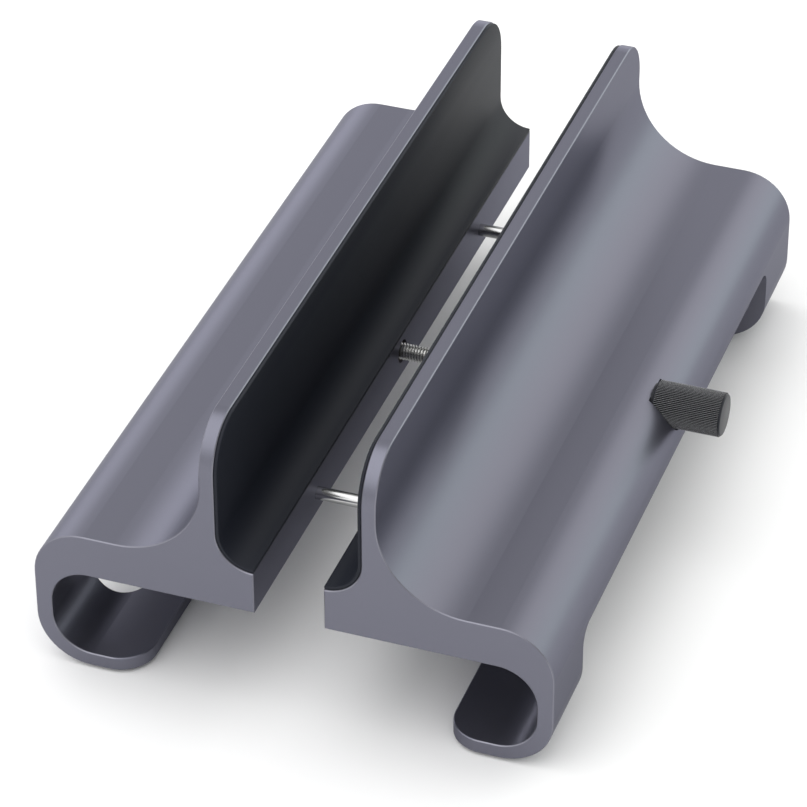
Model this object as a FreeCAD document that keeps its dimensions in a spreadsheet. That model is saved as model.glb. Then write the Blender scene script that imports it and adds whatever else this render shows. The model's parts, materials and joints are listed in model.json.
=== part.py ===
import FreeCAD, Part
import math
import os
import Sketcher

# Vertical laptop stand: two milled aluminium jaws on guide rods, drawn together by a knurled screw.

# Driving sizes in millimetres, each written once.
# Jaw sizes are measured outwards from the ledge face, up from the underside of the aluminium.
DRIVING_SIZES = [
    # jaws
    ("jaw_gap", 16.0, "between the two ledge faces, fully open"),
    ("jaw_travel", 15.4, "how far the moving jaw closes"),
    ("bracket_length", 190.0, "length of each jaw"),
    ("ledge_radius", 8.5, "round between ledge and fin, also the width of the ledge"),
    ("fin_thickness", 3.25, "upright fin"),
    ("fin_top", 69.3, "top of the fin"),
    ("fin_corner", 11.3, "round at the fin's front and rear corners"),
    ("plate_bottom", 24.8, "underside of the thick plate"),
    ("plate_thickness", 10.4, "plate that carries the rods"),
    ("valley_radius", 20.0, "hollow round between fin and plate"),
    ("wall_reach", 51.3, "outer face of the side wall"),
    ("wall_thickness", 3.7, "side wall"),
    ("shoulder_radius", 12.0, "outer round at the top of the wall"),
    ("curl_radius", 12.0, "outer round at the foot of the wall"),
    ("inside_radius", 9.0, "both inner rounds of the channel"),
    ("lip_thickness", 3.35, "turned-in lip that stands on the pads"),
    ("lip_width", 24.5, "from the wall's outer face to the lip's free edge"),
    ("lip_corner", 8.0, "round at the lip's front and rear corners"),
    ("edge_break", 0.22, "bright chamfer round the end faces"),
    # window in the side wall and lip
    ("foot_length", 20.8, "front and rear foot, left at the window's ends"),
    ("window_top", 21.8, "upper edge of the window"),
    ("window_corner", 4.5, "round at its upper corners"),
    ("window_depth", 15.3, "how far it runs in under the wall"),
    ("window_round", 9.0, "round at its inner corners"),
    ("cut_over", 2.0, "how far a cut runs past the metal"),
    # lining and pads
    ("liner_thickness", 0.8, "soft lining of fin and ledge"),
    ("liner_inset", 0.25, "lining short of the metal's ends"),
    ("glue_line", 0.05, "adhesive under linings and pads"),
    ("pad_length", 13.0, "foot pad"),
    ("pad_width", 8.0, "foot pad"),
    ("pad_recess", 0.6, "depth of the pad's seat"),
    ("pad_proud", 0.8, "how far a pad stands out"),
    ("pad_edge", 0.3, "chamfer round the pad's sole"),
    ("pad_offset", 18.2, "pad's middle from the wall's outer face"),
    ("pad_clearance", 0.1, "play round a pad in its seat"),
    # guide rods
    ("rod_diameter", 3.0, "ground steel rod"),
    ("rod_spacing", 112.6, "between the front and the rear rod"),
    ("rod_height", 29.7, "rods above the aluminium's underside"),
    ("rod_seat", 20.0, "fixed length of a rod in the moving jaw"),
    ("rod_engagement", 14.0, "rod in the fixed jaw, fully open"),
    ("rod_point", 0.4, "chamfer at the rod's sliding end"),
    ("guide_length", 12.0, "guide bush"),
    ("guide_outer", 5.0, "guide bush"),
    ("guide_inset", 0.5, "guide bush behind the ledge face"),
    ("slide_play", 0.04, "radial clearance of a sliding or turning fit"),
    ("press_gap", 0.02, "radial gap left at a glued or pressed seat"),
    ("relief", 1.0, "bore wider than the rod or screw behind its bush"),
    ("end_clearance", 1.0, "depth left past a rod's or screw's end"),
    # grub screws
    ("grub_diameter", 2.5, "grub screw under each rod"),
    ("grub_length", 3.0, "grub screw under each rod"),
    ("grub_offset", 8.0, "grub screw from the ledge face"),
    ("grub_socket", 1.3, "across the flats"),
    ("grub_socket_depth", 1.2, "hexagon socket"),
    # screw, nut and knob
    ("screw_diameter", 4.0, "adjusting screw"),
    ("screw_height", 30.8, "screw above the aluminium's underside"),
    ("screw_engagement", 14.0, "screw in the moving jaw, fully open"),
    ("screw_point", 0.5, "chamfer at the screw's tip"),
    ("nut_outer", 5.6, "threaded insert"),
    ("nut_length", 12.0, "threaded insert"),
    ("nut_inset", 1.0, "insert behind the ledge face"),
    ("bush_outer", 6.0, "flanged bush of the screw"),
    ("bush_length", 10.0, "flanged bush under its flange"),
    ("flange_diameter", 7.4, "flange of the bush"),
    ("flange_thickness", 1.0, "flange of the bush"),
    ("flange_recess", 2.2, "depth of its seat in the ledge face"),
    ("flange_play", 0.2, "radial play of the flange in its seat"),
    ("ring_thickness", 0.6, "retaining ring"),
    ("ring_outer", 6.6, "retaining ring"),
    ("ring_groove", 3.2, "bottom of the ring's groove"),
    ("ring_mouth", 2.6, "open side of the retaining ring"),
    ("end_play", 0.05, "axial play of the screw"),
    ("knob_seat", 44.5, "floor of the knob's pocket"),
    ("knob_diameter", 10.4, "knurled knob"),
    ("knob_length", 16.2, "knurled knob"),
    ("knob_rim", 0.31, "chamfer at both ends of the knob"),
    ("knob_rim_width", 0.5, "plain band beside the knurl, with its chamfer"),
    ("knob_rim_drop", 0.34, "plain band below the tops of the knurl"),
    ("knob_bore_depth", 12.0, "blind bore for the screw"),
    ("knob_pocket_play", 0.3, "radial play of the knob in its pocket"),
    ("knurl_teeth", 54, "teeth of the straight knurl"),
    ("knurl_depth", 0.32, "depth of a groove"),
    ("knurl_share", 0.9, "share of the pitch that a groove takes"),
    ("washer_thickness", 0.5, "thrust washer behind the knob"),
    ("washer_outer", 8.4, "thrust washer"),
    ("knob_grub_diameter", 2.5, "grub screw of the knob"),
    ("knob_grub_length", 2.6, "grub screw of the knob"),
    ("knob_grub_offset", 11.0, "grub screw from the knob's inner end"),
    ("knob_grub_socket", 1.3, "across the flats"),
]

doc = FreeCAD.newDocument("VerticalLaptopStand")
sheet = doc.addObject("Spreadsheet::Sheet", "Sizes")
for row, (word, value, meaning) in enumerate(DRIVING_SIZES, start=1):
    sheet.set(f"A{row}", word)
    sheet.set(f"B{row}", str(value))
    sheet.set(f"C{row}", meaning)
    sheet.setAlias(f"B{row}", word)
doc.recompute()

# Sizes that follow from the driving ones, as formulas over the sheet.
PLATE_TOP = "(Sizes.plate_bottom + Sizes.plate_thickness)"
FIN_OUTER = "(Sizes.ledge_radius + Sizes.fin_thickness)"
WALL_INNER = "(Sizes.wall_reach - Sizes.wall_thickness)"
LIP_EDGE = "(Sizes.wall_reach - Sizes.lip_width)"
WINDOW_INNER = "(Sizes.wall_reach - Sizes.window_depth)"
PAD_MIDDLE = "(Sizes.wall_reach - Sizes.pad_offset)"
FOOT_MIDDLE = "(Sizes.bracket_length - Sizes.foot_length) / 2"
FRONT_FOOT = f"(-{FOOT_MIDDLE})"
REAR_FOOT = f"({FOOT_MIDDLE})"
WINDOW_END = "(Sizes.bracket_length / 2 - Sizes.foot_length)"
KNOB_FACE = "(Sizes.knob_seat + Sizes.washer_thickness + Sizes.end_play)"
KNOB_END = f"({KNOB_FACE} + Sizes.knob_length)"
SCREW_TIP = "(Sizes.jaw_gap + Sizes.screw_engagement)"
RING_FACE = "(Sizes.flange_recess - Sizes.flange_thickness - Sizes.end_play - Sizes.ring_thickness)"

# The stand's box is centred on x = 0, so the slot lies off centre by half of what the knob stands out.
SLOT_MIDDLE = f"(Sizes.wall_reach - {KNOB_END}) / 2"
RIGHT_LEDGE = f"({SLOT_MIDDLE} + Sizes.jaw_gap / 2)"
LEFT_LEDGE = f"({SLOT_MIDDLE} - Sizes.jaw_gap / 2)"
RIGHT_PADS = f"({RIGHT_LEDGE} + {PAD_MIDDLE})"
LEFT_PADS = f"({LEFT_LEDGE} - {PAD_MIDDLE})"
FRONT_ROD = "(-Sizes.rod_spacing / 2)"
REAR_ROD = "(Sizes.rod_spacing / 2)"
MIDDLE_LINE = ["0"]
ROD_LEVEL = "(Sizes.pad_proud + Sizes.rod_height)"
SCREW_LEVEL = "(Sizes.pad_proud + Sizes.screw_height)"

HALF_TURN = FreeCAD.Rotation(FreeCAD.Vector(0, 0, 1), 180)
AS_DRAWN = FreeCAD.Rotation()
STANDING = FreeCAD.Rotation(FreeCAD.Vector(0, 1, 0), -90)
NORMAL = FreeCAD.Vector(0, 0, 1)
NEARLY = 1e-6

# Which way an arc turns, and the numbers that a sketch gives to an edge's points and to its own axes.
LEFT_TURN = "left"
RIGHT_TURN = "right"
START, FINISH, MIDDLE = range(1, 4)
UP_AXIS, ACROSS_AXIS = range(-2, 0)

bodies = []


def size(formula):
    """The present value of a formula over the sheet."""
    return float(sheet.evalExpression(formula))


def newBody(label, x="0", y="0", z="0", turned=AS_DRAWN):
    """An empty body with its place bound to the sheet."""
    body = doc.addObject("PartDesign::Body", label)
    body.Label = label
    body.Placement = FreeCAD.Placement(FreeCAD.Vector(), turned)
    body.setExpression("Placement.Base.x", x)
    body.setExpression("Placement.Base.y", y)
    body.setExpression("Placement.Base.z", z)
    bodies.append(body)
    return body


def newSketch(body, plane, lift=None):
    """A sketch on one of the body's own planes, raised along its normal if a lift is given."""
    sketch = body.newObject("Sketcher::SketchObject", f"{body.Name}_outline")
    support = next(f for f in body.Origin.OriginFeatures if f.Role == plane)
    sketch.AttachmentSupport = [(support, "")]
    sketch.MapMode = "FlatFace"
    if lift:
        sketch.setExpression("AttachmentOffset.Base.z", lift)
    return sketch


def bindSize(sketch, constraint, formula):
    """Adds a dimension and ties it to the sheet."""
    index = sketch.addConstraint(constraint)
    sketch.setExpression(f"Constraints[{index}]", formula)


def bindPoint(sketch, edge, end, across, up):
    """Places one point of an edge by two formulas."""
    for kind, formula, axis in (("DistanceX", across, UP_AXIS), ("DistanceY", up, ACROSS_AXIS)):
        distance = size(formula)
        if near(distance, 0):
            sketch.addConstraint(Sketcher.Constraint("PointOnObject", edge, end, axis))
        else:
            from_origin = Sketcher.Constraint(kind, ACROSS_AXIS, START, edge, end, distance)
            bindSize(sketch, from_origin, formula)


def arcBetween(start, finish, radius, turn):
    """The shorter arc from start to finish that turns left or right."""
    chord = finish - start
    leftward = FreeCAD.Vector(-chord.y, chord.x, 0).normalize()
    rise = math.sqrt(max(radius**2 - (chord.Length / 2) ** 2, 0.0))
    centre = (start + finish) / 2 + leftward * (rise if turn == LEFT_TURN else -rise)
    first, last = (start, finish) if turn == LEFT_TURN else (finish, start)
    first_angle = math.atan2(first.y - centre.y, first.x - centre.x)
    last_angle = math.atan2(last.y - centre.y, last.x - centre.x)
    return Part.ArcOfCircle(Part.Circle(centre, NORMAL, radius), first_angle, last_angle)


def outline(sketch, corners):
    """A closed outline. A corner is (across, up), or (across, up, radius, turn) where an arc leaves it."""
    points = [FreeCAD.Vector(size(corner[0]), size(corner[1]), 0) for corner in corners]
    edges = []
    for i, corner in enumerate(corners):
        start = points[i]
        finish = points[(i + 1) % len(points)]
        if len(corner) == 2:
            edge = sketch.addGeometry(Part.LineSegment(start, finish), False)
            edges.append((edge, START, FINISH))
        else:
            radius, turn = corner[2:]
            edge = sketch.addGeometry(arcBetween(start, finish, size(radius), turn), False)
            bindSize(sketch, Sketcher.Constraint("Radius", edge, size(radius)), radius)
            edges.append((edge, START, FINISH) if turn == LEFT_TURN else (edge, FINISH, START))
    for i, (edge, start, _) in enumerate(edges):
        before, _, finish = edges[i - 1]
        sketch.addConstraint(Sketcher.Constraint("Coincident", before, finish, edge, start))
        bindPoint(sketch, edge, start, corners[i][0], corners[i][1])


def circle(sketch, across, up, diameter):
    """A circle placed and sized by formulas."""
    centre = FreeCAD.Vector(size(across), size(up), 0)
    edge = sketch.addGeometry(Part.Circle(centre, NORMAL, size(diameter) / 2), False)
    bindSize(sketch, Sketcher.Constraint("Diameter", edge, size(diameter)), diameter)
    bindPoint(sketch, edge, MIDDLE, across, up)


def extrude(body, kind, sketch, length, symmetric=False, reverse=False):
    """A pad or pocket of the sketch, its length bound to the sheet."""
    feature = body.newObject(kind, f"{body.Name}_{kind.split('::')[1].lower()}")
    feature.Profile = sketch
    feature.setExpression("Length", length)
    feature.SideType = "Symmetric" if symmetric else "One side"
    feature.Reversed = reverse
    doc.recompute()
    return feature


def pad(body, sketch, length, symmetric=False):
    return extrude(body, "PartDesign::Pad", sketch, length, symmetric)


def pocket(body, sketch, length):
    """A pocket that runs along the sketch's normal."""
    return extrude(body, "PartDesign::Pocket", sketch, length, reverse=True)


def edgesWhere(body, test):
    """Names of the edges whose middle point, in the body's own frame, passes the test."""
    to_body = body.Placement.inverse()
    names = []
    for number, edge in enumerate(body.Shape.Edges, start=1):
        middle = edge.valueAt((edge.FirstParameter + edge.LastParameter) / 2)
        if test(to_body.multVec(middle)):
            names.append(f"Edge{number}")
    return names


def endEdges(body, half_length, test):
    """Names of the edges that lie in the body's two end faces and pass the test."""
    return edgesWhere(body, lambda place: near(abs(place.y), half_length) and test(place))


def near(a, b):
    return abs(a - b) < NEARLY


def dress(body, kind, names, size_name, formula):
    """A fillet or chamfer on named edges of the body's last feature."""
    base = body.Tip
    feature = body.newObject(kind, f"{body.Name}_{kind.split('::')[1].lower()}")
    feature.Base = (base, names)
    feature.setExpression(size_name, formula)
    doc.recompute()
    return feature


def fillet(body, names, formula):
    return dress(body, "PartDesign::Fillet", names, "Radius", formula)


def chamfer(body, names, formula):
    return dress(body, "PartDesign::Chamfer", names, "Size", formula)


def revolve(body, corners):
    """A turned piece: its half outline spun about the body's X axis."""
    sketch = newSketch(body, "XZ_Plane")
    outline(sketch, corners)
    feature = body.newObject("PartDesign::Revolution", f"{body.Name}_revolution")
    feature.Profile = sketch
    feature.ReferenceAxis = (sketch, ["H_Axis"])
    doc.recompute()
    return feature


def hexagonSocket(body, across_flats, depth):
    """A hexagon socket sunk along X from the body's YZ plane."""
    sketch = newSketch(body, "YZ_Plane")
    sides = 6
    half_side = math.pi / sides
    corners = []
    for odd in range(1, 2 * sides, 2):
        across = round(math.cos(odd * half_side) / math.cos(half_side) / 2, 9)
        up = round(math.sin(odd * half_side) / math.cos(half_side) / 2, 9)
        corners.append((f"({across} * {across_flats})", f"({up} * {across_flats})"))
    outline(sketch, corners)
    return pocket(body, sketch, depth)


def obround(sketch, across, up, width, length):
    """A slot with round ends, long in the sketch's up direction."""
    straight = f"(({length} - {width}) / 2)"
    radius = f"({width} / 2)"
    left = f"({across} - {radius})"
    right = f"({across} + {radius})"
    low = f"({up} - {straight})"
    high = f"({up} + {straight})"
    outline(
        sketch,
        [
            (left, low, radius, LEFT_TURN),
            (across, f"({low} - {radius})", radius, LEFT_TURN),
            (right, low),
            (right, high, radius, LEFT_TURN),
            (across, f"({high} + {radius})", radius, LEFT_TURN),
            (left, high),
        ],
    )


def jawProfile(sketch):
    """Section of a jaw: ledge, fin, valley, shoulder, wall, curl and lip in one extrusion."""
    inside_start = f"({WALL_INNER} - Sizes.inside_radius)"
    shoulder_level = f"({PLATE_TOP} - Sizes.shoulder_radius)"
    outline(
        sketch,
        [
            ("0", "Sizes.plate_bottom"),
            (inside_start, "Sizes.plate_bottom", "Sizes.inside_radius", RIGHT_TURN),
            (WALL_INNER, "(Sizes.plate_bottom - Sizes.inside_radius)"),
            (WALL_INNER, "(Sizes.lip_thickness + Sizes.inside_radius)", "Sizes.inside_radius", RIGHT_TURN),
            (inside_start, "Sizes.lip_thickness"),
            (LIP_EDGE, "Sizes.lip_thickness"),
            (LIP_EDGE, "0"),
            ("(Sizes.wall_reach - Sizes.curl_radius)", "0", "Sizes.curl_radius", LEFT_TURN),
            ("Sizes.wall_reach", "Sizes.curl_radius"),
            ("Sizes.wall_reach", shoulder_level, "Sizes.shoulder_radius", LEFT_TURN),
            ("(Sizes.wall_reach - Sizes.shoulder_radius)", PLATE_TOP),
            (f"({FIN_OUTER} + Sizes.valley_radius)", PLATE_TOP, "Sizes.valley_radius", RIGHT_TURN),
            (FIN_OUTER, f"({PLATE_TOP} + Sizes.valley_radius)"),
            (FIN_OUTER, "Sizes.fin_top"),
            ("Sizes.ledge_radius", "Sizes.fin_top"),
            ("Sizes.ledge_radius", f"({PLATE_TOP} + Sizes.ledge_radius)", "Sizes.ledge_radius", RIGHT_TURN),
            ("0", PLATE_TOP),
        ],
    )


def windowFromAbove(sketch):
    """Plan of the window: it runs out through the wall and in under it, with round inner corners."""
    outer = "(Sizes.wall_reach + Sizes.cut_over)"
    straight = f"({WINDOW_INNER} + Sizes.window_round)"
    outline(
        sketch,
        [
            (straight, f"(-{WINDOW_END})"),
            (outer, f"(-{WINDOW_END})"),
            (outer, WINDOW_END),
            (straight, WINDOW_END, "Sizes.window_round", LEFT_TURN),
            (WINDOW_INNER, f"({WINDOW_END} - Sizes.window_round)"),
            (WINDOW_INNER, f"(-{WINDOW_END} + Sizes.window_round)", "Sizes.window_round", LEFT_TURN),
        ],
    )


def windowFromSide(sketch):
    """Side view of the window's upper part, with round corners."""
    round_level = "(Sizes.window_top - Sizes.window_corner)"
    outline(
        sketch,
        [
            (f"(-{WINDOW_END})", "Sizes.curl_radius"),
            (WINDOW_END, "Sizes.curl_radius"),
            (WINDOW_END, round_level, "Sizes.window_corner", LEFT_TURN),
            (f"({WINDOW_END} - Sizes.window_corner)", "Sizes.window_top"),
            (f"(-{WINDOW_END} + Sizes.window_corner)", "Sizes.window_top", "Sizes.window_corner", LEFT_TURN),
            (f"(-{WINDOW_END})", round_level),
        ],
    )


def bore(body, places, height, diameter, depth, lift=None):
    """Round holes along X at the given places and height across the ledge face."""
    sketch = newSketch(body, "YZ_Plane", lift)
    for across in places:
        circle(sketch, across, height, diameter)
    return pocket(body, sketch, depth)


def newJaw(label, ledge, turned):
    """The extruded and milled jaw, before the bores that set the two apart."""
    body = newBody(label, ledge, "0", "Sizes.pad_proud", turned)
    profile = newSketch(body, "XZ_Plane")
    jawProfile(profile)
    pad(body, profile, "Sizes.bracket_length", symmetric=True)

    # rounds of the fin's upper corners and of the lip's ends
    half = size("Sizes.bracket_length") / 2
    top = size("Sizes.fin_top")
    lip_edge = size(LIP_EDGE)
    lip_middle = size("Sizes.lip_thickness") / 2
    fillet(body, endEdges(body, half, lambda place: near(place.z, top)), "Sizes.fin_corner")
    fillet(
        body,
        endEdges(body, half, lambda place: near(place.x, lip_edge) and near(place.z, lip_middle)),
        "Sizes.lip_corner",
    )

    # window, milled from below and then from the side
    plan = newSketch(body, "XY_Plane")
    windowFromAbove(plan)
    pocket(body, plan, "(Sizes.window_top - Sizes.window_corner)")
    side = newSketch(body, "YZ_Plane", WINDOW_INNER)
    windowFromSide(side)
    pocket(body, side, "(Sizes.window_depth + Sizes.cut_over)")

    # seats of the foot pads
    for middle in (FRONT_FOOT, REAR_FOOT):
        seat = newSketch(body, "XY_Plane")
        obround(seat, PAD_MIDDLE, middle, "Sizes.pad_width", "Sizes.pad_length")
        pocket(body, seat, "Sizes.pad_recess")

    # bright chamfer round both end faces, along the fin's top and round the lip
    faces = [
        f"Face{number}"
        for number, face in enumerate(body.Shape.Faces, start=1)
        if near(abs(face.CenterOfMass.y), half) and near(face.BoundBox.YLength, 0)
    ]
    chamfer(body, faces, "Sizes.edge_break")
    return body


def newLiner(label, ledge, turned):
    """Soft lining that covers the ledge's round and the fin's inner face."""
    body = newBody(label, ledge, "0", "Sizes.pad_proud", turned)
    sketch = newSketch(body, "XZ_Plane")
    back = "(Sizes.ledge_radius - Sizes.glue_line)"
    front = f"({back} - Sizes.liner_thickness)"
    level = f"({PLATE_TOP} + Sizes.ledge_radius)"
    top = "(Sizes.fin_top - Sizes.liner_inset)"
    outline(
        sketch,
        [
            ("0", f"({level} - {back})"),
            ("0", f"({level} - {front})", front, LEFT_TURN),
            (front, level),
            (front, top),
            (back, top),
            (back, level, back, RIGHT_TURN),
        ],
    )
    length = "(Sizes.bracket_length - 2 * Sizes.liner_inset)"
    pad(body, sketch, length, symmetric=True)
    half = size(length) / 2
    top_level = size(top)
    corners = endEdges(body, half, lambda place: near(place.z, top_level))
    fillet(body, corners, "(Sizes.fin_corner - Sizes.liner_inset)")
    return body


def newPad(label, x, y):
    """Obround foot pad, its sole chamfered."""
    body = newBody(label, x, y)
    sketch = newSketch(body, "XY_Plane")
    play = "2 * Sizes.pad_clearance"
    obround(sketch, "0", "0", f"(Sizes.pad_width - {play})", f"(Sizes.pad_length - {play})")
    height = "(Sizes.pad_proud + Sizes.pad_recess - Sizes.glue_line)"
    extrude(body, "PartDesign::Pad", sketch, height)
    chamfer(body, edgesWhere(body, lambda place: near(place.z, 0)), "Sizes.pad_edge")
    return body


def newGuideBush(label, side):
    """Plain sleeve bush in the fixed jaw."""
    body = newBody(label, f"({RIGHT_LEDGE} + Sizes.guide_inset)", side, ROD_LEVEL)
    inner = "(Sizes.rod_diameter / 2 + Sizes.slide_play)"
    outer = "(Sizes.guide_outer / 2)"
    length = "Sizes.guide_length"
    revolve(body, [("0", inner), (length, inner), (length, outer), ("0", outer)])
    return body


def newGuideRod(label, side):
    """Ground rod, fixed in the moving jaw and free in the fixed one."""
    body = newBody(label, f"({LEFT_LEDGE} - Sizes.rod_seat)", side, ROD_LEVEL)
    length = "(Sizes.rod_seat + Sizes.jaw_gap + Sizes.rod_engagement)"
    radius = "(Sizes.rod_diameter / 2)"
    revolve(
        body,
        [
            ("0", "0"),
            (length, "0"),
            (length, f"({radius} - Sizes.rod_point)"),
            (f"({length} - Sizes.rod_point)", radius),
            ("0", radius),
        ],
    )
    return body


def newGrubScrew(label, x, y, z, diameter, length, socket, turned):
    """Headless screw with a hexagon socket at its outer end."""
    body = newBody(label, x, y, z, turned)
    radius = f"({diameter} / 2)"
    revolve(
        body,
        [
            ("0", "0"),
            (length, "0"),
            (length, radius),
            ("0", radius),
        ],
    )
    hexagonSocket(body, socket, "Sizes.grub_socket_depth")
    return body


def newFixedJaw():
    """Right-hand jaw: bushes for the rods and the screw, and the knob's pocket."""
    body = newJaw("right_bracket", RIGHT_LEDGE, AS_DRAWN)
    rods = [FRONT_ROD, REAR_ROD]
    seat = "(Sizes.guide_outer + 2 * Sizes.press_gap)"
    reach = "(Sizes.rod_engagement + Sizes.jaw_travel + Sizes.end_clearance)"
    bore(body, rods, "Sizes.rod_height", seat, "(Sizes.guide_inset + Sizes.guide_length)")
    bore(body, rods, "Sizes.rod_height", "(Sizes.rod_diameter + Sizes.relief)", reach)
    flange_seat = "(Sizes.flange_diameter + 2 * Sizes.flange_play)"
    bore(body, MIDDLE_LINE, "Sizes.screw_height", flange_seat, "Sizes.flange_recess")
    screw_seat = "(Sizes.bush_outer + 2 * Sizes.press_gap)"
    bore(body, MIDDLE_LINE, "Sizes.screw_height", screw_seat, "(Sizes.flange_recess + Sizes.bush_length)")
    bore(body, MIDDLE_LINE, "Sizes.screw_height", "(Sizes.screw_diameter + Sizes.relief)", "Sizes.knob_seat")
    knob_hole = "(Sizes.knob_diameter + 2 * Sizes.knob_pocket_play)"
    knob_depth = "(Sizes.wall_reach - Sizes.knob_seat + Sizes.cut_over)"
    bore(body, MIDDLE_LINE, "Sizes.screw_height", knob_hole, knob_depth, lift="Sizes.knob_seat")
    return body


def newMovingJaw():
    """Left-hand jaw: rods held by grub screws from below, and the threaded insert."""
    body = newJaw("left_bracket", LEFT_LEDGE, HALF_TURN)
    rods = [FRONT_ROD, REAR_ROD]
    bore(body, rods, "Sizes.rod_height", "(Sizes.rod_diameter + 2 * Sizes.press_gap)", "Sizes.rod_seat")
    insert_seat = "(Sizes.nut_outer + 2 * Sizes.press_gap)"
    bore(body, MIDDLE_LINE, "Sizes.screw_height", insert_seat, "(Sizes.nut_inset + Sizes.nut_length)")
    reach = "(Sizes.screw_engagement + Sizes.jaw_travel + Sizes.end_clearance)"
    bore(body, MIDDLE_LINE, "Sizes.screw_height", "(Sizes.screw_diameter + Sizes.relief)", reach)
    grubs = newSketch(body, "XY_Plane", "Sizes.plate_bottom")
    for across in rods:
        circle(grubs, "Sizes.grub_offset", across, "(Sizes.grub_diameter + 2 * Sizes.press_gap)")
    pocket(body, grubs, "(Sizes.rod_height - Sizes.plate_bottom)")
    return body


def newScrewBush():
    """Flanged bush that carries the screw in the fixed jaw."""
    x = f"({RIGHT_LEDGE} + Sizes.flange_recess - Sizes.flange_thickness)"
    body = newBody("screw_bush", x, "0", SCREW_LEVEL)
    inner = "(Sizes.screw_diameter / 2 + Sizes.slide_play)"
    length = "(Sizes.flange_thickness + Sizes.bush_length)"
    revolve(
        body,
        [
            ("0", inner),
            (length, inner),
            (length, "(Sizes.bush_outer / 2)"),
            ("Sizes.flange_thickness", "(Sizes.bush_outer / 2)"),
            ("Sizes.flange_thickness", "(Sizes.flange_diameter / 2)"),
            ("0", "(Sizes.flange_diameter / 2)"),
        ],
    )
    return body


def newDriveNut():
    """Threaded insert, drawn as a plain sleeve."""
    x = f"({LEFT_LEDGE} - Sizes.nut_inset - Sizes.nut_length)"
    body = newBody("drive_nut", x, "0", SCREW_LEVEL)
    inner = "(Sizes.screw_diameter / 2 + Sizes.slide_play)"
    outer = "(Sizes.nut_outer / 2)"
    length = "Sizes.nut_length"
    revolve(body, [("0", inner), (length, inner), (length, outer), ("0", outer)])
    return body


def newScrew():
    """Adjusting screw, drawn at its thread's outer diameter, with the retaining ring's groove."""
    body = newBody("adjusting_screw", f"({RIGHT_LEDGE} - {SCREW_TIP})", "0", SCREW_LEVEL)
    radius = "(Sizes.screw_diameter / 2)"
    groove = "(Sizes.ring_groove / 2)"
    groove_start = f"({SCREW_TIP} + {RING_FACE} - Sizes.slide_play)"
    groove_end = f"({SCREW_TIP} + {RING_FACE} + Sizes.ring_thickness + Sizes.slide_play)"
    length = f"({SCREW_TIP} + {KNOB_FACE} + Sizes.knob_bore_depth - Sizes.end_play)"
    revolve(
        body,
        [
            ("0", "0"),
            (length, "0"),
            (length, radius),
            (groove_end, radius),
            (groove_end, groove),
            (groove_start, groove),
            (groove_start, radius),
            ("Sizes.screw_point", radius),
            ("0", f"({radius} - Sizes.screw_point)"),
        ],
    )
    return body


def newRetainingRing():
    """Open snap ring in the screw's groove, inside the recess of the ledge face."""
    body = newBody("retaining_ring", f"({RIGHT_LEDGE} + {RING_FACE})", "0", SCREW_LEVEL)
    inner = "(Sizes.ring_groove / 2 + Sizes.press_gap)"
    outer = "(Sizes.ring_outer / 2)"
    thickness = "Sizes.ring_thickness"
    revolve(body, [("0", inner), (thickness, inner), (thickness, outer), ("0", outer)])
    mouth = newSketch(body, "YZ_Plane")
    half_mouth = "(Sizes.ring_mouth / 2)"
    outline(
        mouth,
        [
            (f"(-{half_mouth})", "0"),
            (f"(-{half_mouth})", "(-Sizes.ring_outer)"),
            (half_mouth, "(-Sizes.ring_outer)"),
            (half_mouth, "0"),
        ],
    )
    pocket(body, mouth, thickness)
    return body


def newWasher():
    """Thrust washer between the pocket's floor and the knob."""
    body = newBody("thrust_washer", f"({RIGHT_LEDGE} + Sizes.knob_seat)", "0", SCREW_LEVEL)
    inner = "((Sizes.screw_diameter + Sizes.relief) / 2)"
    outer = "(Sizes.washer_outer / 2)"
    thickness = "Sizes.washer_thickness"
    revolve(body, [("0", inner), (thickness, inner), (thickness, outer), ("0", outer)])
    return body


def newKnob():
    """Knob with a straight knurl between two plain chamfered rims, and a blind bore."""
    body = newBody("knob", f"({RIGHT_LEDGE} + {KNOB_FACE})", "0", SCREW_LEVEL)
    radius = "(Sizes.knob_diameter / 2)"
    rim_radius = f"({radius} - Sizes.knob_rim_drop)"
    inner = "(Sizes.screw_diameter / 2 + Sizes.press_gap)"
    length = "Sizes.knob_length"
    revolve(
        body,
        [
            ("0", inner),
            ("Sizes.knob_bore_depth", inner),
            ("Sizes.knob_bore_depth", "0"),
            (length, "0"),
            (length, f"({rim_radius} - Sizes.knob_rim)"),
            (f"({length} - Sizes.knob_rim)", rim_radius),
            (f"({length} - Sizes.knob_rim_width)", rim_radius),
            (f"({length} - Sizes.knob_rim_width)", radius),
            ("Sizes.knob_rim_width", radius),
            ("Sizes.knob_rim_width", rim_radius),
            ("Sizes.knob_rim", rim_radius),
            ("0", f"({rim_radius} - Sizes.knob_rim)"),
        ],
    )

    # grub screw hole, from below at rest
    grub = newSketch(body, "XY_Plane", f"(-{radius} - Sizes.cut_over)")
    circle(grub, "Sizes.knob_grub_offset", "0", "(Sizes.knob_grub_diameter + 2 * Sizes.press_gap)")
    pocket(body, grub, f"({radius} + Sizes.cut_over)")

    # one V groove of the knurl, drawn as deep above the surface as below it, then all of them
    groove = newSketch(body, "YZ_Plane")
    width = f"(Sizes.knurl_share * 2 * pi * {radius} / Sizes.knurl_teeth)"
    outline(
        groove,
        [
            ("0", f"({radius} - Sizes.knurl_depth)"),
            (width, f"({radius} + Sizes.knurl_depth)"),
            (f"(-{width})", f"({radius} + Sizes.knurl_depth)"),
        ],
    )
    cut = pocket(body, groove, length)
    knurl = body.newObject("PartDesign::PolarPattern", "knurl")
    knurl.Originals = [cut]
    knurl.Axis = (groove, ["N_Axis"])
    knurl.setExpression("Occurrences", "Sizes.knurl_teeth")
    body.Tip = knurl
    doc.recompute()
    return body


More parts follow.
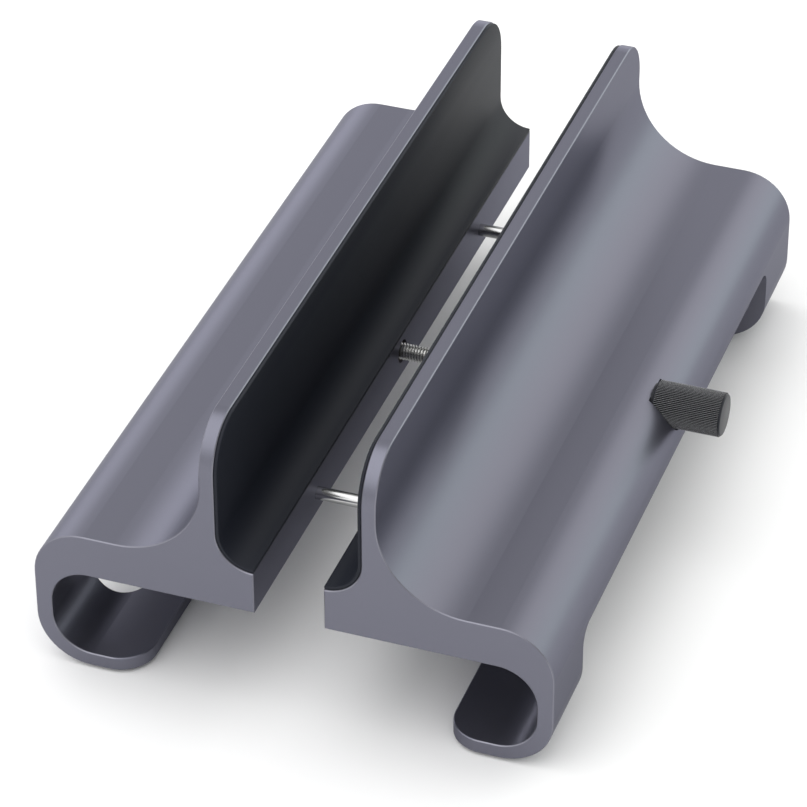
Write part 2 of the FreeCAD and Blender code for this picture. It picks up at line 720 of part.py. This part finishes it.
def buildStand():
    """Every piece of the stand, fixed jaw first."""
    newFixedJaw()
    newLiner("right_liner", RIGHT_LEDGE, AS_DRAWN)
    newMovingJaw()
    newLiner("left_liner", LEFT_LEDGE, HALF_TURN)
    for hand, pad_line in (("right", RIGHT_PADS), ("left", LEFT_PADS)):
        newPad(f"{hand}_front_foot_pad", pad_line, FRONT_FOOT)
        newPad(f"{hand}_rear_foot_pad", pad_line, REAR_FOOT)
    for end, side in (("front", FRONT_ROD), ("rear", REAR_ROD)):
        newGuideBush(f"{end}_guide_bush", side)
        newGuideRod(f"{end}_guide_rod", side)
        newGrubScrew(
            f"{end}_rod_grub_screw",
            f"({LEFT_LEDGE} - Sizes.grub_offset)",
            side,
            f"({ROD_LEVEL} - Sizes.rod_diameter / 2 - Sizes.press_gap - Sizes.grub_length)",
            "Sizes.grub_diameter",
            "Sizes.grub_length",
            "Sizes.grub_socket",
            STANDING,
        )
    newScrewBush()
    newDriveNut()
    newScrew()
    newRetainingRing()
    newWasher()
    newKnob()
    newGrubScrew(
        "knob_grub_screw",
        f"({RIGHT_LEDGE} + {KNOB_FACE} + Sizes.knob_grub_offset)",
        "0",
        f"({SCREW_LEVEL} - Sizes.screw_diameter / 2 - Sizes.press_gap - Sizes.knob_grub_length)",
        "Sizes.knob_grub_diameter",
        "Sizes.knob_grub_length",
        "Sizes.knob_grub_socket",
        STANDING,
    )


def checkStand():
    """Stops if any object failed, or a piece is not one valid solid."""
    doc.recompute()
    for thing in doc.Objects:
        if "Invalid" in thing.State or "Error" in thing.State:
            raise RuntimeError(f"{thing.Label} failed: {thing.State}")
    for body in bodies:
        if body.Shape.isNull() or not body.Shape.isValid() or len(body.Shape.Solids) != 1:
            raise RuntimeError(f"{body.Label} is not one valid solid")


def writeStand():
    """One STEP file for each piece."""
    os.makedirs("parts", exist_ok=True)
    for body in bodies:
        body.Shape.exportStep(os.path.join("parts", f"{body.Label}.step"))
        box = body.Shape.BoundBox
        extents = f"{box.XLength:.2f} x {box.YLength:.2f} x {box.ZLength:.2f}"
        print(f"{body.Label}: {body.Shape.Volume:.1f} mm3, {extents}")


buildStand()
checkStand()
writeStand()
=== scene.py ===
import json
import math

import bmesh
import bpy
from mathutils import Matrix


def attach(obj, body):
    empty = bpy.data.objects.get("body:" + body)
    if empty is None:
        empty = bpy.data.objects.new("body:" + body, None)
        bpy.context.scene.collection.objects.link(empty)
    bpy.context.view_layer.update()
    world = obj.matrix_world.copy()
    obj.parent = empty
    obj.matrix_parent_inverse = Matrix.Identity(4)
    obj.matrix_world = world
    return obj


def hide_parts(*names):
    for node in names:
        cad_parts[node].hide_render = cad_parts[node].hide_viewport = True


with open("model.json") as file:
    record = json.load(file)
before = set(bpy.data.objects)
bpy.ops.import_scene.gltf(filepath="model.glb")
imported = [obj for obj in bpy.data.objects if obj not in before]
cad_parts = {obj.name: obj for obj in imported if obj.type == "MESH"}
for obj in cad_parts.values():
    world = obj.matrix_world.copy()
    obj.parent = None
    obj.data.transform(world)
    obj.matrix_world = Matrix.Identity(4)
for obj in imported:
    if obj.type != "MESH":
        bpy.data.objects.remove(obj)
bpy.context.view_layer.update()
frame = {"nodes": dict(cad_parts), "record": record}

# Upright laptop stand: two grey aluminium jaws on guide rods, closed by a knurled screw.
nodes = frame["nodes"]
mm = 0.001
screwLevel = 31.6  # height of the screw's axis, in millimetres
print("frame loaded:", len(nodes), "nodes")


# Wraps one socket of a node tree, so that shader maths reads as plain arithmetic.
class Wire:
    def __init__(self, tree, socket=None):
        self.tree = tree
        self.socket = socket

    # Any node: its settings are set first, then its sockets are filled with values or other wires.
    def node(self, kind, settings=None, sockets=None, output=0):
        made = self.tree.nodes.new(kind)
        for name, value in (settings or {}).items():
            if name == "stops":
                fillRamp(made.color_ramp, value)
            else:
                setattr(made, name, value)
        for name, value in (sockets or {}).items():
            if isinstance(value, Wire):
                self.tree.links.new(value.socket, made.inputs[name])
            else:
                made.inputs[name].default_value = value
        return Wire(self.tree, made.outputs[output] if made.outputs else None)

    def maths(self, operation, *values):
        return self.node("ShaderNodeMath", {"operation": operation}, dict(enumerate(values)))

    def __add__(self, other):
        return self.maths("ADD", self, other)

    def __sub__(self, other):
        return self.maths("SUBTRACT", self, other)

    def __rsub__(self, other):
        return self.maths("SUBTRACT", other, self)

    def __mul__(self, other):
        return self.maths("MULTIPLY", self, other)

    def __truediv__(self, other):
        return self.maths("DIVIDE", self, other)

    def __abs__(self):
        return self.maths("ABSOLUTE", self)

    def __gt__(self, other):
        return self.maths("GREATER_THAN", self, other)

    def __lt__(self, other):
        return self.maths("LESS_THAN", self, other)

    __radd__ = __add__


def fillRamp(ramp, stops):
    while len(ramp.elements) < len(stops):
        ramp.elements.new(1.0)
    for element, (place, shade) in zip(ramp.elements, stops):
        element.position = place
        element.color = colour(shade if isinstance(shade, tuple) else (shade, shade, shade))


# A new material with an empty tree, and a wire to start its nodes from.
def newMaterial(name):
    material = bpy.data.materials.new(name)
    material.use_nodes = True
    material.node_tree.nodes.clear()
    return material, Wire(material.node_tree)


def closeMaterial(material, shader):
    shader.node("ShaderNodeOutputMaterial", None, {"Surface": shader})
    return material


def colour(values):
    return (*values, 1.0)


def takeApart(start, vector, axes="XYZ"):
    return [start.node("ShaderNodeSeparateXYZ", None, {0: vector}, output=axis) for axis in axes]


def scaleVector(start, vector, factor):
    sockets = {0: vector, "Scale": factor}
    return start.node("ShaderNodeVectorMath", {"operation": "SCALE"}, sockets)


# Object coordinates in millimetres: the vector itself, then its three parts.
def millimetres(start):
    place = start.node("ShaderNodeTexCoord", output="Object")
    scaled = scaleVector(start, place, 1 / mm)
    return scaled, takeApart(start, scaled)


def noise(start, vector, scale, detail=2.0):
    sockets = {"Vector": vector, "Scale": scale, "Detail": detail}
    return start.node("ShaderNodeTexNoise", None, sockets)


def bump(start, height, distance):
    return start.node("ShaderNodeBump", None, {"Height": height, "Distance": distance})


def mixColours(start, factor, first, second):
    return start.node(
        "ShaderNodeMix",
        {"data_type": "RGBA"},
        {"Factor": factor, 6: first, 7: second},
        output=2,
    )


def principled(start, sockets):
    return start.node("ShaderNodeBsdfPrincipled", None, sockets)


anodised = {
    "tone": (0.16, 0.161, 0.197),
    "paleTone": (0.172, 0.173, 0.212),
    # painted highlight: the lighter tone put on the chamfers
    "chamferHighlightTone": (0.2, 0.2, 0.234),
    "rough": 0.36,
    "roughSpread": 0.06,
    "chamferRough": 0.3,
    "metal": 0.9,
    "grazingTint": (0.52, 0.52, 0.56),  # holds back the glare on faces seen edge on
    "grainScale": 3.2,
    "cloudScale": 0.035,
    "grainShare": 0.6,  # of the change in tone; the rest is the cloud's
    "grainHeight": 0.004 * mm,
    "halfLength": 95.0,
    "finTop": 70.1,
    "finCorner": 11.3,
    "edgeBreak": 0.23,  # width of the chamfers
    "mixedNormal": (0.25, 0.95),  # between these a normal slants, as on a chamfer
}


# Fine blasted grey anodising; the chamfers round the ends and the fins are painted a little
# lighter, a painted highlight along the edges.
def makeAnodised():
    v = anodised
    material, start = newMaterial("anodised_aluminium")
    vector, (_, y, z) = millimetres(start)
    normal = start.node("ShaderNodeTexCoord", output="Normal")
    nx, ny = [abs(part) for part in takeApart(start, normal, "XY")]
    alongPast = start.maths("MAXIMUM", abs(y) - (v["halfLength"] - v["finCorner"]), 0.0)
    abovePast = start.maths("MAXIMUM", z - (v["finTop"] - v["finCorner"]), 0.0)
    cornerReach = start.maths("SQRT", alongPast * alongPast + abovePast * abovePast)
    nearEdge = cornerReach > v["finCorner"] - v["edgeBreak"]
    low, high = v["mixedNormal"]
    onFin = z > v["finTop"] - v["finCorner"]
    slanted = nx * onFin + ny * (1 - onFin)
    # mask of the chamfers that carry the painted highlight
    chamferHighlight = nearEdge * (slanted > low) * (slanted < high)
    grain = noise(start, vector, v["grainScale"])
    cloud = noise(start, vector, v["cloudScale"])
    blend = grain * v["grainShare"] + cloud * (1 - v["grainShare"])
    tone = mixColours(start, blend, colour(v["tone"]), colour(v["paleTone"]))
    tone = mixColours(start, chamferHighlight, tone, colour(v["chamferHighlightTone"]))
    rough = v["rough"] + (grain - 0.5) * v["roughSpread"]
    rough = rough * (1 - chamferHighlight) + chamferHighlight * v["chamferRough"]
    shader = principled(
        start,
        {
            "Base Color": tone,
            "Metallic": v["metal"],
            "Roughness": rough,
            "Specular Tint": colour(v["grazingTint"]),
            "Normal": bump(start, grain, v["grainHeight"]),
        },
    )
    return closeMaterial(material, shader)


liningRubber = {
    "tone": (0.0066, 0.0081, 0.0137),
    "paleTone": (0.0099, 0.0114, 0.018),
    "index": 1.34,
    "rough": 0.6,
    "sheen": (0.94, 0.96, 1.0),
    "roughSpread": 0.1,
    "grainScale": 5.0,
    "grainHeight": 0.006 * mm,
}
padRubber = dict(
    liningRubber,
    rough=0.65,
    tone=(0.012, 0.012, 0.013),
    grainScale=3.0,
    grainHeight=0.01 * mm,
)
bushPolymer = dict(liningRubber, rough=0.5, tone=(0.014, 0.014, 0.014), grainScale=8.0)


# Smooth near-black silicone or polymer with a very fine skin.
def makeRubber(name, v):
    material, start = newMaterial(name)
    vector, _ = millimetres(start)
    grain = noise(start, vector, v["grainScale"])
    shader = principled(
        start,
        {
            "Base Color": mixColours(start, grain, colour(v["tone"]), colour(v["paleTone"])),
            "Roughness": v["rough"] + (grain - 0.5) * v["roughSpread"],
            "IOR": v["index"],
            "Specular Tint": colour(v["sheen"]),
            "Normal": bump(start, grain, v["grainHeight"]),
        },
    )
    return closeMaterial(material, shader)


rodSteel = {
    "tone": (0.48, 0.48, 0.48),
    "rough": 0.12,
    "roughSpread": 0.08,
    "lineScale": 9.0,
    "lineHeight": 0.001 * mm,
}
threadSteel = {
    "tone": (0.57, 0.57, 0.56),
    "rough": 0.22,
    "roughSpread": 0.1,
    "lineScale": 6.0,
    "lineHeight": 0.001 * mm,
}
brass = dict(threadSteel, tone=(0.56, 0.36, 0.12), rough=0.25)
blackOxide = {
    "tone": (0.016, 0.0175, 0.023),
    "metal": 0.0,
    "index": 1.3,
    "rough": 0.4,
    "roughSpread": 0.1,
    "lineScale": 4.0,
    "lineHeight": 0.002 * mm,
    # the knurl's painted shade in the grooves and painted highlight on the crests, by distance from
    # the screw's axis
    "grooveShadeTone": (0.004, 0.005, 0.006),
    "grooveRadius": 4.88,
    "crestHighlightTone": (0.34, 0.343, 0.36),
    "crestRadius": 5.14,
    "axisLevel": screwLevel,
}
turning = {
    "aroundScale": 0.2,  # low, so that the noise is drawn out into rings
    "detail": 3.0,
    "darkShare": 0.9,  # tone of the darkest ring
}


# Turned or ground metal with fine rings round the X axis. On a knurl, painted shade darkens the
# grooves and a painted highlight lightens the crests.
def makeTurned(name, v):
    material, start = newMaterial(name)
    _, (x, y, z) = millimetres(start)
    around = turning["aroundScale"]
    stretched = start.node(
        "ShaderNodeCombineXYZ",
        None,
        {"X": x * v["lineScale"], "Y": y * around, "Z": z * around},
    )
    lines = noise(start, stretched, 1.0, turning["detail"])
    darkTone = [turning["darkShare"] * part for part in v["tone"]]
    tone = mixColours(start, lines, colour(darkTone), colour(v["tone"]))
    # painted shade in the knurl's grooves, painted highlight on its crests
    if "crestHighlightTone" in v:
        height = z - v["axisLevel"]
        radius = start.maths("SQRT", y * y + height * height)
        tone = mixColours(start, radius > v["grooveRadius"], tone, colour(v["grooveShadeTone"]))
        tone = mixColours(start, radius > v["crestRadius"], tone, colour(v["crestHighlightTone"]))
    shader = principled(
        start,
        {
            "Base Color": tone,
            "Metallic": v.get("metal", 1.0),
            "Roughness": v["rough"] + (lines - 0.5) * v["roughSpread"],
            "IOR": v.get("index", 1.5),
            "Normal": bump(start, lines, v["lineHeight"]),
        },
    )
    return closeMaterial(material, shader)


finishes = {
    "anodised_aluminium": makeAnodised(),
    "lining_rubber": makeRubber("lining_rubber", liningRubber),
    "pad_rubber": makeRubber("pad_rubber", padRubber),
    "bush_polymer": makeRubber("bush_polymer", bushPolymer),
    "ground_steel": makeTurned("ground_steel", rodSteel),
    "screw_steel": makeTurned("screw_steel", threadSteel),
    "insert_brass": makeTurned("insert_brass", brass),
    "knob_black": makeTurned("knob_black", blackOxide),
}

for part in frame["record"]["subparts"]:
    node = nodes[part["node"]]
    node.data.materials.clear()
    node.data.materials.append(finishes[part["material_slot"]])
print("finishes on the nodes:", len(finishes))


closeBy = 0.01 * mm
faceOn = 0.9  # least share of an axis in the normal of a face across it


def near(a, b):
    return abs(a - b) < closeBy


# Selects the vertices, edges or faces that pass the test, in edit mode.
def pick(mode, test):
    bpy.ops.object.mode_set(mode="EDIT")
    bpy.ops.mesh.select_mode(type=mode)
    bpy.ops.mesh.select_all(action="DESELECT")
    work = bmesh.from_edit_mesh(bpy.context.object.data)
    items = {"VERT": work.verts, "EDGE": work.edges, "FACE": work.faces}[mode]
    for item in items:
        if test(item):
            item.select_set(True)
    work.select_flush_mode()
    bmesh.update_edit_mesh(bpy.context.object.data)


# Cuts the whole mesh across the X axis.
def cutAcross(place, way=1.0, **settings):
    pick("VERT", lambda vert: True)
    bpy.ops.mesh.bisect(plane_co=(place, 0.0, 0.0), plane_no=(way, 0.0, 0.0), **settings)


def pickBetween(first, last):
    pick("FACE", lambda face: first < face.calc_center_median().x < last)


# Leaves edit mode and lets go of everything before a new piece.
def begin():
    if bpy.context.object and bpy.context.object.mode == "EDIT":
        bpy.ops.object.mode_set(mode="OBJECT")
    bpy.ops.object.select_all(action="DESELECT")


# Leaves edit mode and writes the object's place into its mesh.
def settle(name):
    bpy.ops.object.mode_set(mode="OBJECT")
    piece = bpy.context.object
    piece.name = name
    bpy.ops.object.transform_apply(location=True, rotation=True, scale=True)
    return piece


def applyModifier(piece, kind, **settings):
    modifier = piece.modifiers.new(kind.lower(), kind)
    for name, value in settings.items():
        setattr(modifier, name, value)
    bpy.ops.object.modifier_apply(modifier=modifier.name)


smoothAngle = math.radians(35)


# Gives a finished piece its look and its body, and hides the node that it stands for.
def handOver(piece, node, body):
    part = next(part for part in frame["record"]["subparts"] if part["node"] == node)
    bpy.ops.object.shade_smooth_by_angle(angle=smoothAngle)
    piece.data.materials.clear()
    piece.data.materials.append(finishes[part["material_slot"]])
    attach(piece, body)
    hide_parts(node)


linings = {
    "thickness": 0.8 * mm,
    "backRadius": 8.45 * mm,  # round from the fin down to the ledge, at the glued side
    "roundLevel": 44.5 * mm,
    "top": 69.85 * mm,
    "halfLength": 94.75 * mm,
    "cornerRadius": 11.05 * mm,
    "roundSteps": 12,
    "cornerSteps": 10,
    "edgeRound": 0.22 * mm,
    "edgeSteps": 3,
    "sharpAngle": 45,  # edges sharper than this are rounded
    "weldReach": 0.001 * mm,
    "sides": {
        # name: node, body, place of the ledge's edge, which way the fin lies from it
        "rightLining": ("right_liner", "fixed_jaw", 3.025 * mm, 1),
        "leftLining": ("left_liner", "moving_jaw", -12.975 * mm, -1),
    },
}


# One soft sheet, flat on the fin and turned out over the ledge, with round corners and soft edges.
def makeLining(name):
    v = linings
    node, body, ledge, way = v["sides"][name]
    back = ledge + way * v["backRadius"]
    height = v["top"] - v["roundLevel"]
    begin()
    bpy.ops.mesh.primitive_plane_add(
        size=1.0,
        location=(back, 0.0, v["roundLevel"] + height / 2),
        rotation=(0.0, math.pi / 2, 0.0),
    )
    bpy.context.object.scale = (height, 2 * v["halfLength"], 1.0)
    piece = settle(name)
    pick("EDGE", lambda edge: all(near(vert.co.z, v["roundLevel"]) for vert in edge.verts))
    bpy.ops.mesh.spin(
        steps=v["roundSteps"],
        angle=-way * math.pi / 2,
        center=(ledge, 0.0, v["roundLevel"]),
        axis=(0.0, 1.0, 0.0),
    )
    pick("VERT", lambda vert: near(vert.co.z, v["top"]))
    bpy.ops.mesh.bevel(affect="VERTICES", offset=v["cornerRadius"], segments=v["cornerSteps"])
    bpy.ops.mesh.select_all(action="SELECT")
    bpy.ops.mesh.remove_doubles(threshold=v["weldReach"])
    bpy.ops.mesh.normals_make_consistent(inside=False)
    bpy.ops.object.mode_set(mode="OBJECT")
    # the sheet grows thick away from the fin, whichever way its normals point
    facesFin = max(piece.data.polygons, key=lambda face: face.area).normal.x * way > 0
    applyModifier(
        piece,
        "SOLIDIFY",
        thickness=v["thickness"],
        offset=-1.0 if facesFin else 1.0,
        use_even_offset=True,
    )
    applyModifier(
        piece,
        "BEVEL",
        width=v["edgeRound"],
        segments=v["edgeSteps"],
        limit_method="ANGLE",
        angle_limit=math.radians(v["sharpAngle"]),
    )
    handOver(piece, node, body)


footPads = {
    "size": (7.8 * mm, 12.8 * mm, 1.35 * mm),
    "cornerShare": 0.4995,  # of the width, so that the ends are half rounds
    "cornerSteps": 10,
    "soleRound": 0.4 * mm,
    "topRound": 0.12 * mm,
    "edgeSteps": 3,
    "places": {
        # node: body, middle of the pad
        "right_front_foot_pad": ("fixed_jaw", (36.125 * mm, -84.6 * mm)),
        "right_rear_foot_pad": ("fixed_jaw", (36.125 * mm, 84.6 * mm)),
        "left_front_foot_pad": ("moving_jaw", (-46.075 * mm, -84.6 * mm)),
        "left_rear_foot_pad": ("moving_jaw", (-46.075 * mm, 84.6 * mm)),
    },
}


# Obround rubber pad with a soft sole edge.
def makeFootPad(node):
    v = footPads
    body, (x, y) = v["places"][node]
    width, length, height = v["size"]
    begin()
    bpy.ops.mesh.primitive_cube_add(size=1.0, location=(x, y, height / 2))
    bpy.context.object.scale = (width, length, height)
    piece = settle(node.title().replace("_", "").replace("Foot", ""))
    pick("EDGE", lambda edge: abs(edge.verts[0].co.z - edge.verts[1].co.z) > height / 2)
    bpy.ops.mesh.bevel(offset=v["cornerShare"] * width, segments=v["cornerSteps"])
    pick("FACE", lambda face: face.normal.z < -faceOn)
    bpy.ops.mesh.bevel(offset=v["soleRound"], segments=v["edgeSteps"])
    pick("FACE", lambda face: face.normal.z > faceOn)
    bpy.ops.mesh.bevel(offset=v["topRound"], segments=1)
    bpy.ops.object.mode_set(mode="OBJECT")
    handOver(piece, node, body)


thread = {
    "axisLevel": screwLevel * mm,
    "tip": -26.975 * mm,
    "shankStart": 3.2 * mm,
    "end": 60.025 * mm,
    "pitch": 0.7 * mm,
    "crest": 2.0 * mm,
    "root": 1.57 * mm,
    "flat": 0.1,  # flat on the crest as a share of the pitch, twice as wide in the root
    "turnSteps": 24,
    "spareTurns": 2,
    "overlap": 0.05 * mm,  # with the plain part
    "point": 0.5 * mm,
    "groove": (3.535 * mm, 4.215 * mm),
    "grooveRadius": 1.6 * mm,
    "shankSteps": 40,
}


# One edge bent to a thread's outline, wound along the axis, cut off square at both ends.
def makeThread():
    v = thread
    pitch = v["pitch"]
    flat = pitch * v["flat"]
    flank = (pitch - 3 * flat) / 2
    outline = [
        (0.0, v["root"]),
        (flank, v["crest"]),
        (flank + flat, v["crest"]),
        (2 * flank + flat, v["root"]),
        (pitch, v["root"]),
    ]
    begin()
    bpy.ops.mesh.primitive_plane_add(size=pitch, location=(v["tip"] - pitch, 0.0, v["axisLevel"]))
    piece = bpy.context.object
    pick("EDGE", lambda edge: all(vert.co.y < 0 for vert in edge.verts))
    bpy.ops.mesh.select_all(action="INVERT")
    bpy.ops.mesh.delete(type="EDGE")
    bpy.ops.mesh.select_all(action="SELECT")
    bpy.ops.mesh.subdivide(number_cuts=len(outline) - 2)
    work = bmesh.from_edit_mesh(piece.data)
    for vert, (along, radius) in zip(sorted(work.verts, key=lambda vert: vert.co.x), outline):
        vert.co = (along, 0.0, radius)
    bmesh.update_edit_mesh(piece.data)
    bpy.ops.object.mode_set(mode="OBJECT")
    turns = math.ceil((v["shankStart"] - v["tip"]) / pitch) + v["spareTurns"]
    applyModifier(
        piece,
        "SCREW",
        axis="X",
        screw_offset=pitch,
        iterations=turns,
        steps=v["turnSteps"],
        render_steps=v["turnSteps"],
        use_merge_vertices=True,
        merge_threshold=closeBy,
    )
    settle("thread")
    for place, way in ((v["tip"], -1.0), (v["shankStart"] + v["overlap"], 1.0)):
        cutAcross(place, way, use_fill=True, clear_outer=True)
    # the tip is turned to a point
    work = bmesh.from_edit_mesh(piece.data)
    for vert in work.verts:
        radius = math.hypot(vert.co.y, vert.co.z - v["axisLevel"])
        allowed = v["crest"] - v["point"] + (vert.co.x - v["tip"])
        if radius > allowed:
            vert.co.y *= allowed / radius
            vert.co.z = v["axisLevel"] + (vert.co.z - v["axisLevel"]) * allowed / radius
    bmesh.update_edit_mesh(piece.data)
    bpy.ops.mesh.select_all(action="SELECT")
    bpy.ops.mesh.normals_make_consistent(inside=False)
    bpy.ops.object.mode_set(mode="OBJECT")
    return piece


# The plain part of the screw, with the retaining ring's groove turned in.
def makeShank():
    v = thread
    length = v["end"] - v["shankStart"]
    begin()
    bpy.ops.mesh.primitive_cylinder_add(
        vertices=v["shankSteps"],
        radius=v["crest"],
        depth=length,
        location=(v["shankStart"] + length / 2, 0.0, v["axisLevel"]),
        rotation=(0.0, math.pi / 2, 0.0),
    )
    piece = settle("shank")
    for place in v["groove"]:
        cutAcross(place)
    first, last = v["groove"]
    pickBetween(first, last)
    bpy.ops.mesh.extrude_region_move()
    shrink = v["grooveRadius"] / v["crest"]
    onAxis = (0.0, 0.0, v["axisLevel"])
    bpy.ops.transform.resize(value=(1.0, shrink, shrink), center_override=onAxis)
    bpy.ops.object.mode_set(mode="OBJECT")
    return piece


def makeScrew():
    parts = [makeThread(), makeShank()]
    begin()
    for part in parts:
        part.select_set(True)
    bpy.context.view_layer.objects.active = parts[0]
    bpy.ops.object.join()
    parts[0].name = "threadedScrew"
    handOver(parts[0], "adjusting_screw", "screw")


knob = {
    "axisLevel": screwLevel * mm,
    "start": 48.075 * mm,
    "end": 64.27 * mm,
    "radius": 5.19 * mm,
    "rimRadius": 4.86 * mm,
    "rimWidth": 0.5 * mm,
    "rimRound": 0.3 * mm,
    "roundSteps": 3,
    "teeth": 76,
    "grooveRadius": 4.9 * mm,
    "crestFlat": 0.035 * mm,
    "reach": 0.05 * mm,  # what counts as lying at the band's radius
}


# Straight knurl: a band raised between two plain rims, every second line of it pressed in.
def makeKnob():
    v = knob
    length = v["end"] - v["start"]
    middle = (v["start"] + length / 2, 0.0, v["axisLevel"])
    begin()
    bpy.ops.mesh.primitive_cylinder_add(
        vertices=2 * v["teeth"],
        radius=v["rimRadius"],
        depth=length,
        location=middle,
        rotation=(0.0, math.pi / 2, 0.0),
    )
    piece = settle("knurledKnob")
    pick("FACE", lambda face: abs(face.normal.x) > faceOn)
    bpy.ops.mesh.bevel(offset=v["rimRound"], segments=v["roundSteps"])
    bandStart = v["start"] + v["rimWidth"]
    bandEnd = v["end"] - v["rimWidth"]
    for place in (bandStart, bandEnd):
        cutAcross(place)
    pickBetween(bandStart, bandEnd)
    bpy.ops.mesh.extrude_region_move()
    swell = v["radius"] / v["rimRadius"]
    bpy.ops.transform.resize(value=(1.0, swell, swell), center_override=middle)

    def fromAxis(place):
        return math.hypot(place.y, place.z - v["axisLevel"])

    def isCrest(place):
        return fromAxis(place) > v["radius"] - v["reach"]

    def isGroove(place):
        turn = math.atan2(place.y, place.z - v["axisLevel"]) / math.tau
        return isCrest(place) and round(turn * 2 * v["teeth"]) % 2 == 1

    pick("VERT", lambda vert: isGroove(vert.co))
    press = v["grooveRadius"] / v["radius"]
    bpy.ops.transform.resize(value=(1.0, press, press), center_override=middle)
    pick("EDGE", lambda edge: all(isCrest(vert.co) for vert in edge.verts))
    bpy.ops.mesh.bevel(offset=v["crestFlat"], segments=1)
    bpy.ops.object.mode_set(mode="OBJECT")
    handOver(piece, "knob", "screw")


for name in linings["sides"]:
    makeLining(name)
for node in footPads["places"]:
    makeFootPad(node)
print("linings and foot pads made")
makeScrew()
makeKnob()
print("screw and knob made")


studio = {
    "floorSize": 8.0,
    "floorTone": 0.88,
    # brightness of the tent by angle from overhead, in degrees, negative towards the left
    "rearSky": [
        (-90.0, 2.7),
        (-67.5, 2.24),
        (-45.0, 1.17),
        (-30.0, 0.84),
        (-15.0, 0.75),
        (0.0, 1.04),
        (15.0, (1.54, 1.53, 1.49)),
        (30.0, (1.66, 1.64, 1.59)),
        (45.0, (1.71, 1.74, 1.67)),
        (60.0, (1.71, 1.8, 1.73)),
        (75.0, (1.93, 2.12, 1.96)),
        (90.0, (1.44, 1.53, 1.5)),
    ],
    "frontSky": [
        (-90.0, 1.22),
        (-54.0, 1.3),
        (-18.0, 2.25),
        (18.0, 1.3),
        (54.0, 0.74),
        (90.0, 0.7),
    ],
    # two values of the direction's Y, then what a band is multiplied by at each of them
    "rearRise": (0.7, 0.88, 0.8, 1.34),
    "frontFade": (-0.98, -0.78, 0.55, 1.04),
    "skySplit": (0.3, 0.5),  # values of the direction's Y between which the front band fades out
}


# A tent of light: one band of brightness round the stand for the rear half, another for the front.
def buildTent():
    v = studio
    world = bpy.data.worlds.new("studio")
    bpy.context.scene.world = world
    world.use_nodes = True
    world.node_tree.nodes.clear()
    start = Wire(world.node_tree)
    way = start.node("ShaderNodeTexCoord", output="Generated")
    x, y, z = takeApart(start, way)
    share = start.maths("ARCTAN2", x, z) / math.pi + 0.5
    bands = []
    for name in ("frontSky", "rearSky"):
        stops = [(angle / 180 + 0.5, shade) for angle, shade in v[name]]
        bands.append(start.node("ShaderNodeValToRGB", {"stops": stops}, {0: share}))
    for which, name in enumerate(("frontFade", "rearRise")):
        change = start.node("ShaderNodeMapRange", None, {0: y, **dict(enumerate(v[name], start=1))})
        bands[which] = scaleVector(start, bands[which], change)
    low, high = v["skySplit"]
    rearward = start.node("ShaderNodeMapRange", None, {0: y, 1: low, 2: high})
    light = mixColours(start, rearward, *bands)
    sky = start.node("ShaderNodeBackground", None, {"Color": light, "Strength": 1.0})
    start.node("ShaderNodeOutputWorld", None, {"Surface": sky})


def buildStudio():
    v = studio
    begin()
    bpy.ops.mesh.primitive_plane_add(size=v["floorSize"])
    floor = bpy.context.object
    floor.name = "floor"
    material, start = newMaterial("floor")
    matt = start.node("ShaderNodeBsdfDiffuse", None, {"Color": colour([v["floorTone"]] * 3)})
    floor.data.materials.append(closeMaterial(material, matt))
    buildTent()
    print("studio built")


cameraView = {
    "place": (0.24185, -0.71426, 0.55769),
    "turned": (54.496, 0.169, 19.501),
    "lens": 178.21,
    "filmWidth": 36.0,
    "nearest": 0.01,
}


def buildCamera():
    v = cameraView
    data = bpy.data.cameras.new("view")
    data.lens = v["lens"]
    data.sensor_width = v["filmWidth"]
    data.clip_start = v["nearest"]
    holder = bpy.data.objects.new("view", data)
    bpy.context.collection.objects.link(holder)
    holder.location = v["place"]
    holder.rotation_euler = [math.radians(angle) for angle in v["turned"]]
    bpy.context.scene.camera = holder
    bpy.context.scene.view_settings.view_transform = "Standard"
    print("camera placed")


buildStudio()
buildCamera()
